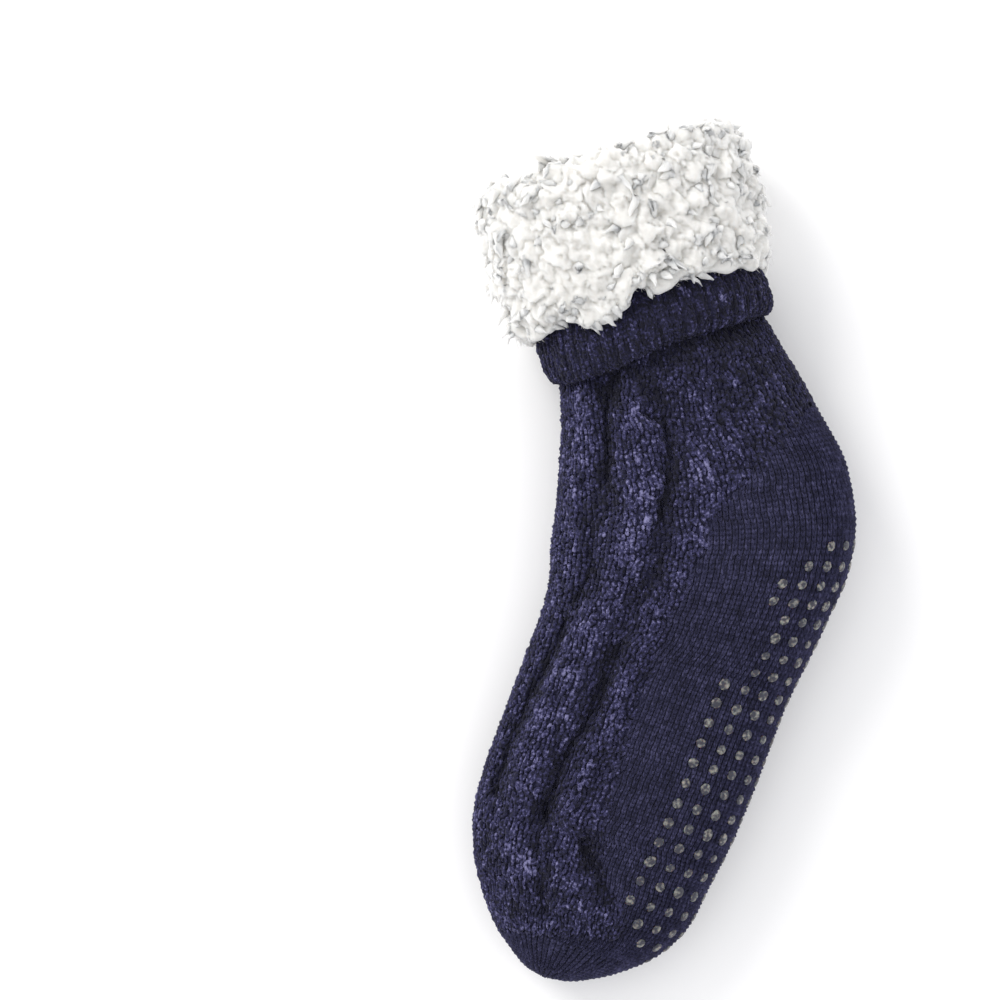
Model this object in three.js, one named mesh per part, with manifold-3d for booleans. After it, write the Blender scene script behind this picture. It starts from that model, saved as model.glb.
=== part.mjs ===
// A slipper sock lying on its side: a chenille knit body whose ribbed top is turned down over
// the leg, and the pile of its lining, which shows where the cuff is turned.
// Millimetres. +Z is up from the floor, Y runs from the toe (-Y) to the turned cuff (+Y),
// and +X is the side of the sole and the heel.
import * as THREE from 'three';
import { mergeVertices } from 'three/addons/utils/BufferGeometryUtils.js';
import Module from 'manifold-3d';

const wasm = await Module();
wasm.setup();

// Lengths along the spine, which bends at the ankle
const FOOT_AXIS = 216; // ankle centre to toe tip
const LEG_AXIS = 172; // ankle centre to the fold at the top
const FOOT_LEAN = 19; // degrees between the foot's axis and Y
const LEG_LEAN = 13.5; // degrees between the leg's axis and Y
const ANKLE_BEND = 62; // half the stretch of spine over which it turns

// Depths lie in the floor's plane, from sole or heel to instep
const BALL_DEPTH = 120;
const HEEL_DEPTH = 139;
const LEG_DEPTH = 92;

// Heights stand up from the floor
const FOOT_HEIGHT = 60;
const HEEL_HEIGHT = 68;
const LEG_HEIGHT = 52;
const NOSE_DROOP = 0.22; // share by which the empty toe sinks

// The knit, and how it meets the floor
const KNIT_WALL = 3.2;
const CUFF_RISE = 12; // how far the thick cuff holds the leg off the floor
const FLOOR_PRESS = 2.2; // depth of the flat that the floor presses into the lower side

// The turned cuff, measured along the leg from the ankle
const LAYER_GAP = 0.6; // between the leg and the layer turned down over it
const HEM_BOTTOM = 88;
const HEM_LENGTH = 22;
const HEM_THICKNESS = 7; // doubled and rolled
const RIB_COUNT = 28;
const RIB_DEPTH = 1.5;

// The pile
const PILE_GAP = 0.35; // between the pile's backing and the knit
const PILE_THICKNESS = 13;
const PILE_OVERHANG = 3; // pile that hangs over the hem's top edge
const PILE_LIP = 34; // how far the pile reaches down inside the collar
const LOCK_RADIUS = 7; // at the root of a lock
const LOCK_TIP_RADIUS = 3.2;
const LOCK_LENGTH = 4.2;
const LOCK_SINK = 1.5;
const LOCK_SIDES = 5;
const LOCK_ROWS = 4;
const LOCKS_PER_ROW = 16;

const COLUMNS = RIB_COUNT * 2;
const ARC_SAMPLES = 80;

// Sections of the knit from toe to fold. `at` is a share of the foot's axis where negative and
// of the leg's axis where positive. `side` and `depth` are shares of the depth named by `of`,
// `height` is a share of its height, `turn` is in degrees and `rise` is a share of CUFF_RISE.
const SECTIONS = [
  { at: -1.0, of: 'foot', side: -0.03, turn: -19, depth: 0.0, height: 0.0, rise: 0 },
  { at: -0.99, of: 'foot', side: -0.02, turn: -19, depth: 0.17, height: 0.28, rise: 0 },
  { at: -0.97, of: 'foot', side: -0.012, turn: -19, depth: 0.31, height: 0.45, rise: 0 },
  { at: -0.93, of: 'foot', side: -0.002, turn: -19, depth: 0.51, height: 0.65, rise: 0 },
  { at: -0.865, of: 'foot', side: 0.006, turn: -19, depth: 0.725, height: 0.83, rise: 0 },
  { at: -0.79, of: 'foot', side: -0.003, turn: -19, depth: 0.87, height: 0.93, rise: 0 },
  { at: -0.7, of: 'foot', side: -0.018, turn: -19, depth: 0.945, height: 0.98, rise: 0 },
  { at: -0.58, of: 'foot', side: -0.01, turn: -19, depth: 0.987, height: 1.0, rise: 0 },
  { at: -0.44, of: 'foot', side: 0.0, turn: -19, depth: 0.995, height: 1.0, rise: 0 },
  { at: -0.3, of: 'foot', side: 0.007, turn: -18, depth: 0.995, height: 1.01, rise: 0 },
  { at: -0.15, of: 'heel', side: 0.033, turn: -9, depth: 0.915, height: 0.97, rise: 0 },
  { at: -0.06, of: 'heel', side: 0.055, turn: -2, depth: 0.98, height: 1.0, rise: 0 },
  { at: 0.0, of: 'heel', side: 0.06, turn: 3, depth: 1.0, height: 1.0, rise: 0 },
  { at: 0.125, of: 'heel', side: 0.055, turn: 8, depth: 0.965, height: 0.99, rise: 0.03 },
  { at: 0.27, of: 'heel', side: 0.032, turn: 12, depth: 0.865, height: 0.92, rise: 0.14 },
  { at: 0.465, of: 'leg', side: 0.02, turn: 17, depth: 1.1, height: 1.1, rise: 0.45 },
  { at: 0.6, of: 'leg', side: 0.0, turn: 18, depth: 1.0, height: 1.0, rise: 0.75 },
  { at: 0.81, of: 'leg', side: -0.035, turn: 16, depth: 1.1, height: 1.0, rise: 0.96 },
  { at: 1.0, of: 'leg', side: -0.03, turn: 15.5, depth: 1.12, height: 1.0, rise: 1.0 },
];
const NOSE_AT = -0.58; // the toe end of the foot's full sections

// The cable's furrows (deep above 0) and swells (deep below 0) on the side that faces up.
// Each path holds places as [at, across], where across runs from -1 at the instep to 1 at the
// sole; `wide` and `deep` are in millimetres.
const FOLDS = [
  {
    wide: 11,
    deep: 2.8,
    path: [[0.5, -0.56], [0.31, -0.59], [0.11, -0.63], [-0.06, -0.69], [-0.215, -0.78],
      [-0.35, -0.84], [-0.53, -0.86], [-0.66, -0.88]],
  },
  {
    wide: 12,
    deep: 3.2,
    path: [[0.4, -0.19], [0.25, -0.15], [0.115, -0.23], [-0.075, -0.32], [-0.17, -0.38],
      [-0.31, -0.39], [-0.43, -0.37], [-0.52, -0.44], [-0.66, -0.45]],
  },
  { wide: 16, deep: 1.8, path: [[-0.69, -0.09], [-0.76, 0.22]] },
  { wide: 13, deep: 2, path: [[-0.74, -0.38], [-0.84, -0.3]] },
  { wide: 13, deep: 1.6, path: [[0.463, -0.64], [0.482, -0.06], [0.5, 0.54], [0.51, 0.85]] },
  { wide: 14, deep: -2, path: [[0.42, -0.8], [0.33, -0.82], [0.18, -0.85]] },
  { wide: 18, deep: -2.4, path: [[0.33, -0.36], [0.23, -0.37], [0.12, -0.43]] },
  { wide: 15, deep: -2, path: [[0.03, -0.5], [-0.08, -0.52]] },
  { wide: 16, deep: -1.6, path: [[-0.2, -0.6], [-0.4, -0.62], [-0.6, -0.68]] },
  { wide: 14, deep: -1.4, path: [[0.32, 0.12], [0.12, 0.02], [-0.1, -0.1]] },
];

const DEPTH_OF = { foot: BALL_DEPTH, heel: HEEL_DEPTH, leg: LEG_DEPTH };
const HEIGHT_OF = { foot: FOOT_HEIGHT, heel: HEEL_HEIGHT, leg: LEG_HEIGHT };

const lengthAt = (at) => at * (at < 0 ? FOOT_AXIS : LEG_AXIS);
const stations = SECTIONS.map((row) => ({
  s: lengthAt(row.at),
  side: row.side * DEPTH_OF[row.of],
  turn: row.turn,
  halfDepth: (row.depth * DEPTH_OF[row.of]) / 2,
  halfHeight: (row.height * HEIGHT_OF[row.of]) / 2,
  rise: row.rise * CUFF_RISE,
}));

// Slopes that never overshoot between one section and the next
function slopes(key) {
  const rate = stations.slice(1).map((b, i) => (b[key] - stations[i][key]) / (b.s - stations[i].s));
  return stations.map((row, i) => {
    if (i === 0) return rate[0];
    if (i === stations.length - 1) return rate[i - 1];
    if (rate[i - 1] * rate[i] <= 0) return 0;
    const before = row.s - stations[i - 1].s;
    const after = stations[i + 1].s - row.s;
    const weighed = (2 * after + before) / rate[i - 1] + (after + 2 * before) / rate[i];
    return (3 * (before + after)) / weighed;
  });
}
const SLOPES = Object.fromEntries(
  ['side', 'turn', 'halfDepth', 'halfHeight', 'rise'].map((key) => [key, slopes(key)]),
);

function between(key, s) {
  const last = stations.length - 1;
  const at = Math.min(Math.max(s, stations[0].s), stations[last].s);
  let i = 0;
  while (i < last - 1 && at > stations[i + 1].s) i += 1;
  const span = stations[i + 1].s - stations[i].s;
  const t = (at - stations[i].s) / span;
  const [a, b] = [stations[i][key], stations[i + 1][key]];
  const [ma, mb] = [SLOPES[key][i] * span, SLOPES[key][i + 1] * span];
  return (2 * t ** 3 - 3 * t * t + 1) * a + (t ** 3 - 2 * t * t + t) * ma
    + (3 * t * t - 2 * t ** 3) * b + (t ** 3 - t * t) * mb;
}

const radians = THREE.MathUtils.degToRad;
const footLean = radians(FOOT_LEAN);
const legLean = radians(LEG_LEAN);
const footWay = new THREE.Vector2(-Math.sin(footLean), -Math.cos(footLean));
const legWay = new THREE.Vector2(-Math.sin(legLean), Math.cos(legLean));

// The spine's point at s millimetres from the ankle, towards the toe where s is negative
function spine(s) {
  if (s <= -ANKLE_BEND) return footWay.clone().multiplyScalar(-s);
  if (s >= ANKLE_BEND) return legWay.clone().multiplyScalar(s);
  const t = (s + ANKLE_BEND) / (2 * ANKLE_BEND);
  return footWay.clone().multiplyScalar((1 - t) ** 2 * ANKLE_BEND)
    .add(legWay.clone().multiplyScalar(t * t * ANKLE_BEND));
}

// Where a section lies in the floor's plane: its middle, and the way from instep to sole
function placed(s) {
  const turn = radians(between('turn', s));
  const across = new THREE.Vector2(Math.cos(turn), Math.sin(turn));
  const centre = spine(s).addScaledVector(across, between('side', s));
  return { centre, across };
}

const folds = FOLDS.map(({ wide, deep, path }) => ({
  wide,
  deep,
  line: path.map(([at, share]) => {
    const s = lengthAt(at);
    const { centre, across } = placed(s);
    return centre.addScaledVector(across, share * between('halfDepth', s));
  }),
}));

function distanceTo(line, point) {
  let nearest = Infinity;
  for (let i = 1; i < line.length; i += 1) {
    const way = line[i].clone().sub(line[i - 1]);
    const from = point.clone().sub(line[i - 1]);
    const t = THREE.MathUtils.clamp(from.dot(way) / way.lengthSq(), 0, 1);
    nearest = Math.min(nearest, from.addScaledVector(way, -t).length());
  }
  return nearest;
}

// How far the cable's furrows and swells lower the upper side at a place in plan
function lowering(point) {
  let total = 0;
  for (const { wide, deep, line } of folds) {
    const share = distanceTo(line, point) / (wide / 2);
    if (share < 2.5) total += deep * Math.exp(-share * share);
  }
  return total;
}

const power = (value, exponent) => Math.sign(value) * Math.abs(value) ** exponent;
const TOP_ROUND = 2 / 2.15; // the upper half is a little fuller than an ellipse
const BOTTOM_ROUND = 2 / 2.7; // the lower half is squarer, because it lies on the floor

// The section at s, `out` millimetres outside the knit's outer face, as a function of angle.
// Inside the toe the section shrinks with the toe instead, so that the wall keeps its thickness.
function section(s, out) {
  const noseStart = NOSE_AT * FOOT_AXIS;
  const noseLength = FOOT_AXIS + noseStart;
  let halfDepth = between('halfDepth', s) + out;
  let halfHeight = between('halfHeight', s) + out;
  let place = s;
  if (s < noseStart && out < 0) {
    halfDepth = between('halfDepth', s) * (1 + out / between('halfDepth', noseStart));
    halfHeight = between('halfHeight', s) * (1 + out / between('halfHeight', noseStart));
    place = noseStart + (s - noseStart) * (1 + out / noseLength);
  }
  const { centre, across } = placed(place);
  const rise = between('rise', place);
  const level = Math.max(0, rise - out);
  const past = Math.max(0, (noseStart - place) / noseLength);
  const full = between('halfHeight', Math.max(place, noseStart)) * (1 - NOSE_DROOP * past * past);
  const middle = rise + full - FLOOR_PRESS;
  return (angle) => {
    const c = Math.cos(angle);
    const n = Math.sin(angle);
    const exponent = n >= 0 ? TOP_ROUND : BOTTOM_ROUND;
    const flat = centre.clone().addScaledVector(across, halfDepth * power(c, exponent));
    let z = middle + halfHeight * power(n, exponent);
    if (n > 0) z -= lowering(flat) * THREE.MathUtils.smoothstep(n, 0, 0.5);
    return new THREE.Vector3(flat.x, flat.y, Math.max(level, z));
  };
}

// One ring: the upper half from sole to instep and the lower half back, each in equal steps
function ring(s, out, columns = COLUMNS) {
  const at = section(s, out);
  const points = [];
  for (const start of [0, Math.PI]) {
    const samples = [];
    for (let i = 0; i <= ARC_SAMPLES; i += 1) samples.push(at(start + (Math.PI * i) / ARC_SAMPLES));
    const run = [0];
    for (let i = 1; i <= ARC_SAMPLES; i += 1) run.push(run[i - 1] + samples[i].distanceTo(samples[i - 1]));
    let j = 0;
    for (let k = 0; k < columns / 2; k += 1) {
      const want = (run[ARC_SAMPLES] * k) / (columns / 2);
      while (j < ARC_SAMPLES - 1 && run[j + 1] < want) j += 1;
      const t = (want - run[j]) / Math.max(run[j + 1] - run[j], 1e-9);
      points.push(samples[j].clone().lerp(samples[j + 1], t));
    }
  }
  return points;
}

// A closed surface through rings; a ring of one point is a pole, and `joined` closes the loop
function skin(rings, joined = false) {
  const positions = [];
  const starts = rings.map((points) => {
    const start = positions.length / 3;
    points.forEach((p) => positions.push(p.x, p.y, p.z));
    return start;
  });
  const index = [];
  const steps = joined ? rings.length : rings.length - 1;
  for (let r = 0; r < steps; r += 1) {
    const next = (r + 1) % rings.length;
    const [a, b] = [rings[r].length, rings[next].length];
    const count = Math.max(a, b);
    for (let k = 0; k < count; k += 1) {
      const l = (k + 1) % count;
      const [here, beside] = [starts[r] + (a > 1 ? k : 0), starts[r] + (a > 1 ? l : 0)];
      const [ahead, aheadBeside] = [starts[next] + (b > 1 ? k : 0), starts[next] + (b > 1 ? l : 0)];
      if (a > 1) index.push(here, ahead, beside);
      if (b > 1) index.push(ahead, aheadBeside, beside);
    }
  }
  const geometry = new THREE.BufferGeometry();
  geometry.setAttribute('position', new THREE.Float32BufferAttribute(positions, 3));
  geometry.setIndex(index);
  return geometry;
}

function solid(geometry) {
  const bare = geometry.clone();
  bare.deleteAttribute('normal');
  bare.deleteAttribute('uv');
  const merged = mergeVertices(bare, 1e-4);
  return new wasm.Manifold(new wasm.Mesh({
    numProp: 3,
    vertProperties: new Float32Array(merged.attributes.position.array),
    triVerts: new Uint32Array(merged.index.array),
  }));
}

function geometryOf(made) {
  const mesh = made.getMesh();
  const geometry = new THREE.BufferGeometry();
  geometry.setAttribute('position', new THREE.BufferAttribute(new Float32Array(mesh.vertProperties), 3));
  geometry.setIndex(new THREE.BufferAttribute(new Uint32Array(mesh.triVerts), 1));
  geometry.computeVertexNormals();
  return geometry;
}

// Evenly spaced places along the spine, both ends included
function spread(from, to, count) {
  return Array.from({ length: count + 1 }, (_, i) => from + ((to - from) * i) / count);
}

// Where the knit and the pile that lies against it both have a ring
const CUFF_PLACES = spread(HEM_BOTTOM + HEM_LENGTH, LEG_AXIS, 3);
const LIP_PLACES = spread(LEG_AXIS - PILE_LIP, LEG_AXIS, 2);

const NOSE_SHARES = [0.004, 0.012, 0.026, 0.05, 0.08, 0.115, 0.155, 0.2, 0.245, 0.29];

// The leg turns over at LEG_AXIS and comes back down outside itself to the rolled ribbed hem,
// so one surface runs from the toe up the leg, down and up the cuff, and back to the toe inside
function knitBody() {
  const nose = NOSE_SHARES.map((share) => -FOOT_AXIS * (1 - share));
  const foot = spread(-FOOT_AXIS * 0.665, -ANKLE_BEND, 7);
  const ankle = spread(-ANKLE_BEND, ANKLE_BEND, 13).slice(1);
  const leg = spread(ANKLE_BEND, HEM_BOTTOM, 3).slice(1);
  const covered = spread(HEM_BOTTOM, LEG_AXIS - LAYER_GAP, 3).slice(1);
  const back = LAYER_GAP + KNIT_WALL;
  const hemTop = HEM_BOTTOM + HEM_LENGTH;
  const hemMiddle = HEM_BOTTOM + HEM_LENGTH / 2;
  const face = LAYER_GAP + HEM_THICKNESS;
  const hem = [
    { s: HEM_BOTTOM + 0.4, out: face * 0.35, ribs: 0 },
    { s: HEM_BOTTOM, out: face * 0.65, ribs: 0.4 },
    { s: HEM_BOTTOM + HEM_LENGTH * 0.14, out: face * 0.93, ribs: 1 },
    { s: hemMiddle, out: face, ribs: 1 },
    { s: hemTop - HEM_LENGTH * 0.16, out: face * 0.95, ribs: 1 },
    { s: hemTop, out: back, ribs: 0 },
  ];
  const inside = [...nose, ...foot, ...ankle].filter((_, i) => i % 3 === 0);
  inside.push(...spread(ANKLE_BEND, LIP_PLACES[0], 2).slice(1), ...LIP_PLACES.slice(1));
  const rings = [
    [section(-FOOT_AXIS, 0)(0)],
    ...[...nose, ...foot, ...ankle, ...leg, ...covered].map((s) => ring(s, 0)),
    ...[HEM_BOTTOM + 1, ...covered].reverse().map((s) => ring(s, LAYER_GAP)),
    ...hem.map(ribbed),
    ...CUFF_PLACES.slice(1).map((s) => ring(s, back)),
    ring(LEG_AXIS + KNIT_WALL * 0.8, LAYER_GAP + KNIT_WALL * 0.55),
    ring(LEG_AXIS + KNIT_WALL, LAYER_GAP / 2),
    ring(LEG_AXIS + KNIT_WALL * 0.8, -KNIT_WALL * 0.55),
    ...inside.reverse().map((s) => ring(s, -KNIT_WALL)),
    [section(-FOOT_AXIS, -KNIT_WALL)(0)],
  ];
  return solid(skin(rings));
}

function ribbed({ s, out, ribs }) {
  const crests = ring(s, out);
  const valleys = ring(s, out - RIB_DEPTH * ribs);
  return crests.map((crest, k) => (k % 2 === 0 ? crest : valleys[k]));
}

// The pile: over the fold at the top, down the outside to the hem and a little way inside
function pileCuff() {
  const back = LAYER_GAP + KNIT_WALL + PILE_GAP;
  const inner = -KNIT_WALL - PILE_GAP;
  const face = back + PILE_THICKNESS;
  const bottom = HEM_BOTTOM + HEM_LENGTH + 0.6;
  const fold = LEG_AXIS + KNIT_WALL + PILE_GAP;
  const lip = LEG_AXIS - PILE_LIP;
  const overHem = LAYER_GAP + HEM_THICKNESS + PILE_GAP;
  const profile = [
    [bottom, back],
    [bottom, overHem],
    [bottom - PILE_OVERHANG, overHem + PILE_THICKNESS * 0.2],
    [bottom - PILE_OVERHANG, back + PILE_THICKNESS * 0.75],
    [bottom + 3, face * 0.98],
    [(bottom + fold) / 2, face],
    [fold - PILE_THICKNESS * 0.6, face * 0.95],
    [fold + PILE_THICKNESS * 0.25, face * 0.72],
    [fold + PILE_THICKNESS * 0.7, face * 0.36],
    [fold + PILE_THICKNESS * 0.7, 0],
    [fold + PILE_THICKNESS * 0.3, inner - PILE_THICKNESS * 0.4],
    [fold - PILE_THICKNESS * 0.7, inner - PILE_THICKNESS * 0.58],
    [lip + PILE_THICKNESS * 0.5, inner - PILE_THICKNESS * 0.5],
    [lip, inner - PILE_THICKNESS * 0.25],
    ...LIP_PLACES.map((s) => [s, inner]),
    [fold, inner * 0.6],
    [fold + PILE_GAP, LAYER_GAP / 2],
    [fold, back * 0.75],
    ...CUFF_PLACES.slice(1).reverse().map((s) => [s, back]),
  ];
  let made = solid(skin(profile.map(([s, out]) => ring(s, out)), true));
  for (const lock of pileLocks(bottom, fold, face)) made = made.add(lock);
  return made;
}

// Locks of pile stand out of the face in staggered rows, each leaning its own way
function pileLocks(bottom, fold, face) {
  const locks = [];
  for (let row = 0; row < LOCK_ROWS; row += 1) {
    const s = bottom + ((fold - bottom) * (row + 0.35)) / LOCK_ROWS;
    const rooted = section(s, face - LOCK_SINK);
    const outer = section(s, face + LOCK_SINK);
    for (let k = 0; k < LOCKS_PER_ROW; k += 1) {
      const angle = (2 * Math.PI * (k + (row % 2) / 2)) / LOCKS_PER_ROW;
      const root = rooted(angle);
      const lean = Math.sin(k * 2.4 + row * 1.7);
      const turn = Math.cos(k * 3.7 + row * 2.3);
      const way = outer(angle + turn * 0.05).sub(root).normalize();
      way.add(new THREE.Vector3(legWay.x, legWay.y, 0).multiplyScalar(0.35 * lean)).normalize();
      const tip = root.z + way.z * LOCK_LENGTH;
      if (Math.min(root.z, tip) > LOCK_RADIUS) locks.push(lock(root, way));
    }
  }
  return locks;
}

function lock(root, way) {
  const shape = new THREE.CylinderGeometry(LOCK_TIP_RADIUS, LOCK_RADIUS, LOCK_LENGTH, LOCK_SIDES);
  shape.translate(0, LOCK_LENGTH / 2, 0);
  shape.applyQuaternion(new THREE.Quaternion().setFromUnitVectors(new THREE.Vector3(0, 1, 0), way));
  shape.translate(root.x, root.y, root.z);
  return solid(shape);
}

function finish(colour, roughness) {
  return new THREE.MeshStandardMaterial({ color: colour, roughness, metalness: 0, flatShading: true });
}

const pieces = [
  { name: 'knit_body', made: knitBody(), material: finish(0x2c2b52, 0.95) },
  { name: 'pile_cuff', made: pileCuff(), material: finish(0xf1f0ec, 1.0) },
];

// The origin is on the floor under the middle of the whole sock
const sock = new THREE.Group();
for (const { name, made, material } of pieces) {
  const mesh = new THREE.Mesh(geometryOf(made), material);
  mesh.name = name;
  sock.add(mesh);
}
const box = new THREE.Box3().setFromObject(sock);
const centre = box.getCenter(new THREE.Vector3());
sock.children.forEach((mesh) => mesh.geometry.translate(-centre.x, -centre.y, -box.min.z));

export default sock;
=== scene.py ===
# %% [markdown]
# # A lined slipper sock
# The sock lies on its side on a pale floor. Its outside is knitted: plain stitches on the side of
# the sole and heel, and soft chenille loops with a cable over the instep and leg. The ribbed top is
# turned down, so that the white pile of the lining shows. First the imported model is loaded. It is
# the fixed frame that every piece below is fitted to.

# %% Load the frame
import math

import bpy
import numpy as np
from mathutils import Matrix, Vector


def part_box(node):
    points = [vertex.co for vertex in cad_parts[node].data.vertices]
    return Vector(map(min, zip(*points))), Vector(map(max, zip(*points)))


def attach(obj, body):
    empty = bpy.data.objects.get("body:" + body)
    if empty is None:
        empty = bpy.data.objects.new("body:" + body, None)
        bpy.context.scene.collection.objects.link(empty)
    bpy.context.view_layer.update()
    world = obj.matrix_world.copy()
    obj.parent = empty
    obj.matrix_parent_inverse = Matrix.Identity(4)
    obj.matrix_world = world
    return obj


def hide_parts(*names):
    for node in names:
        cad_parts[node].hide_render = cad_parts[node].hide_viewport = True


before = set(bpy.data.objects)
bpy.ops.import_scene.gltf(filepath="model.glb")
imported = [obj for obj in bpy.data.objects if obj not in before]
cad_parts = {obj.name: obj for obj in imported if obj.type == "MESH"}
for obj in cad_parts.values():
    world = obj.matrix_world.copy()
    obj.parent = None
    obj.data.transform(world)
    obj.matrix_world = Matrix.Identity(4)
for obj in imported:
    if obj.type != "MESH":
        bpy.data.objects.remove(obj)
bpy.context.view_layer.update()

# %% [markdown]
# ## Sizes
# A sock is one long tube, so it is easiest to describe as a row of cross-sections along a bent
# spine. The sizes below are those of the frame's source, in millimetres. Each row of the table is
# one cross-section: where it is along the foot (below zero) or the leg (above zero), how far it
# sits to the side, which way it is turned, and how deep and high it is.

# %% Named sizes and the table of sections
MM = 0.001
FOOT_AXIS = 216.0
LEG_AXIS = 172.0
FOOT_LEAN = 19.0
LEG_LEAN = 13.5
ANKLE_BEND = 62.0
BALL_DEPTH, HEEL_DEPTH, LEG_DEPTH = 120.0, 139.0, 92.0
FOOT_HEIGHT, HEEL_HEIGHT, LEG_HEIGHT = 60.0, 68.0, 52.0
NOSE_AT = -0.58
NOSE_DROOP = 0.22
KNIT_WALL = 3.2
CUFF_RISE = 12.0
FLOOR_PRESS = 2.2
LAYER_GAP = 0.6
HEM_BOTTOM, HEM_LENGTH, HEM_THICKNESS = 88.0, 22.0, 7.0
PILE_GAP = 0.35
PILE_THICKNESS = 13.0
PILE_LIP = 34.0

# at, size set, side, turn, depth, height, rise
SECTIONS = [
    (-1.000, "foot", -0.030, -19, 0.000, 0.00, 0.00),
    (-0.990, "foot", -0.020, -19, 0.170, 0.28, 0.00),
    (-0.970, "foot", -0.012, -19, 0.310, 0.45, 0.00),
    (-0.930, "foot", -0.002, -19, 0.510, 0.65, 0.00),
    (-0.865, "foot", 0.006, -19, 0.725, 0.83, 0.00),
    (-0.790, "foot", -0.003, -19, 0.870, 0.93, 0.00),
    (-0.700, "foot", -0.018, -19, 0.945, 0.98, 0.00),
    (-0.580, "foot", -0.010, -19, 0.987, 1.00, 0.00),
    (-0.440, "foot", 0.000, -19, 0.995, 1.00, 0.00),
    (-0.300, "foot", 0.007, -18, 0.995, 1.01, 0.00),
    (-0.150, "heel", 0.033, -9, 0.915, 0.97, 0.00),
    (-0.060, "heel", 0.055, -2, 0.980, 1.00, 0.00),
    (0.000, "heel", 0.060, 3, 1.000, 1.00, 0.00),
    (0.125, "heel", 0.055, 8, 0.965, 0.99, 0.03),
    (0.270, "heel", 0.032, 12, 0.865, 0.92, 0.14),
    (0.465, "leg", 0.020, 17, 1.100, 1.10, 0.45),
    (0.600, "leg", 0.000, 18, 1.000, 1.00, 0.75),
    (0.810, "leg", -0.035, 16, 1.100, 1.00, 0.96),
    (1.000, "leg", -0.030, 15.5, 1.120, 1.00, 1.00),
]
DEPTHS = {"foot": BALL_DEPTH, "heel": HEEL_DEPTH, "leg": LEG_DEPTH}
HEIGHTS = {"foot": FOOT_HEIGHT, "heel": HEEL_HEIGHT, "leg": LEG_HEIGHT}

# %% [markdown]
# ## Camera
# The photograph looks straight down on the sock, a little to the left of it. The scale of the
# photograph, 0.46 mm to a pixel at the height of the sock's widest line, sets how wide the camera
# sees. The ankle's centre is the one point that is placed by its pixel.

# %% Spine, and where the ankle's centre lies in the frame
def length_at(at):
    return at * (FOOT_AXIS if at < 0 else LEG_AXIS)


stations = np.array([
    (length_at(at), side * DEPTHS[size], turn, depth * DEPTHS[size] / 2, height * HEIGHTS[size] / 2,
     rise * CUFF_RISE)
    for at, size, side, turn, depth, height, rise in SECTIONS])
COLUMN = {"side": 1, "turn": 2, "half_depth": 3, "half_height": 4, "rise": 5}


def smooth(key, s):
    """A column of the table at any place, on a curve that never overshoots."""
    x, y = stations[:, 0], stations[:, COLUMN[key]]
    step = np.diff(x)
    rate = np.diff(y) / step
    slope = np.zeros(len(x))
    slope[0], slope[-1] = rate[0], rate[-1]
    for i in range(1, len(x) - 1):
        if rate[i - 1] * rate[i] > 0:
            before, after = step[i - 1], step[i]
            weighed = (2 * after + before) / rate[i - 1] + (after + 2 * before) / rate[i]
            slope[i] = 3 * (before + after) / weighed
    s = np.clip(s, x[0], x[-1])
    i = np.clip(np.searchsorted(x, s) - 1, 0, len(x) - 2)
    t = (s - x[i]) / step[i]
    return ((2 * t**3 - 3 * t**2 + 1) * y[i] + (t**3 - 2 * t**2 + t) * step[i] * slope[i]
            + (3 * t**2 - 2 * t**3) * y[i + 1] + (t**3 - t**2) * step[i] * slope[i + 1])


FOOT_WAY = np.array([-math.sin(math.radians(FOOT_LEAN)), -math.cos(math.radians(FOOT_LEAN))])
LEG_WAY = np.array([-math.sin(math.radians(LEG_LEAN)), math.cos(math.radians(LEG_LEAN))])


def spine(s):
    t = np.clip((s + ANKLE_BEND) / (2 * ANKLE_BEND), 0, 1)[:, None]
    bend = (1 - t)**2 * ANKLE_BEND * FOOT_WAY + t**2 * ANKLE_BEND * LEG_WAY
    before = np.maximum(-ANKLE_BEND - s, 0)[:, None] * FOOT_WAY
    after = np.maximum(s - ANKLE_BEND, 0)[:, None] * LEG_WAY
    return bend + before + after


def placed(s):
    """Each section's middle in plan, and its way from the instep to the sole."""
    turn = np.radians(smooth("turn", s))
    across = np.stack([np.cos(turn), np.sin(turn)], 1)
    return spine(s) + across * smooth("side", s)[:, None], across


every = np.linspace(-FOOT_AXIS, LEG_AXIS, 2000)
middle, across = placed(every)
edges = np.concatenate([middle + across * smooth("half_depth", every)[:, None],
                        middle - across * smooth("half_depth", every)[:, None]])
knit_low, knit_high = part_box("knit_body")
ankle = np.array([knit_high[0] / MM - edges[:, 0].max(), knit_low[1] / MM - edges[:, 1].min()])
print("ankle centre in the frame, mm:", ankle.round(2))

# %% Camera over the photograph's middle
PHOTO_MM_PER_PIXEL = 0.46
PHOTO_PIXELS = 1000
ANKLE_PIXEL = (704, 537)
CAMERA_HEIGHT = 1.6
SIDE_LINE_HEIGHT = 0.03
view_width = PHOTO_PIXELS * PHOTO_MM_PER_PIXEL * MM
from_ankle = (np.array([PHOTO_PIXELS / 2 - ANKLE_PIXEL[0], ANKLE_PIXEL[1] - PHOTO_PIXELS / 2])
              * PHOTO_MM_PER_PIXEL)
camera_x, camera_y = (ankle + from_ankle) * MM
camera_data = bpy.data.cameras.new("camera")
camera_data.sensor_width = 36
camera_data.lens = camera_data.sensor_width * (CAMERA_HEIGHT - SIDE_LINE_HEIGHT) / view_width
camera = bpy.data.objects.new("camera", camera_data)
camera.location = (camera_x, camera_y, CAMERA_HEIGHT)
bpy.context.scene.collection.objects.link(camera)
bpy.context.scene.camera = camera
print("camera over", round(camera_x, 4), round(camera_y, 4), "lens", round(camera_data.lens, 1))
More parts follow.
